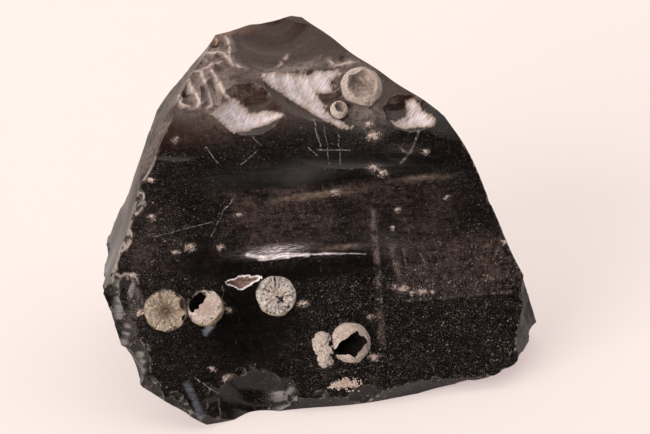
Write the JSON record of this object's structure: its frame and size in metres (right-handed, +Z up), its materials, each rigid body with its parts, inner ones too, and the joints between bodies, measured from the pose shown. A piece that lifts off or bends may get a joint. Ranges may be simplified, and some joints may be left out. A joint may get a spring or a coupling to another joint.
{
  "type": "obsidian chunk",
  "caption": "Broken chunk of snowflake obsidian: black volcanic glass with conchoidal breaks and round cream crystal balls set in it.",
  "frame": {"origin": "on the ground, in the middle of the chunk's footprint", "axes": "+Z up, +X along the width of the large black face, -Y the way that face looks"},
  "size_m": [0.1116, 0.0876, 0.0785],
  "materials": {
    "obsidian": "glossy",
    "snowflake_tan": "matte",
    "snowflake_cream": "matte",
    "snowflake_grey": "matte"
  },
  "bodies": {
    "root": {"obsidian_block": "obsidian", "snowflake_left": "snowflake_tan", "snowflake_left_hollow": "snowflake_cream", "snowflake_middle": "snowflake_cream", "snowflake_right_hollow": "snowflake_cream", "snowflake_low_crust": "snowflake_cream", "snowflake_top_cup": "snowflake_grey", "snowflake_top_small": "snowflake_grey", "snowflake_right_side": "snowflake_cream", "snowflake_back": "snowflake_cream"}
  },
  "joints": []
}
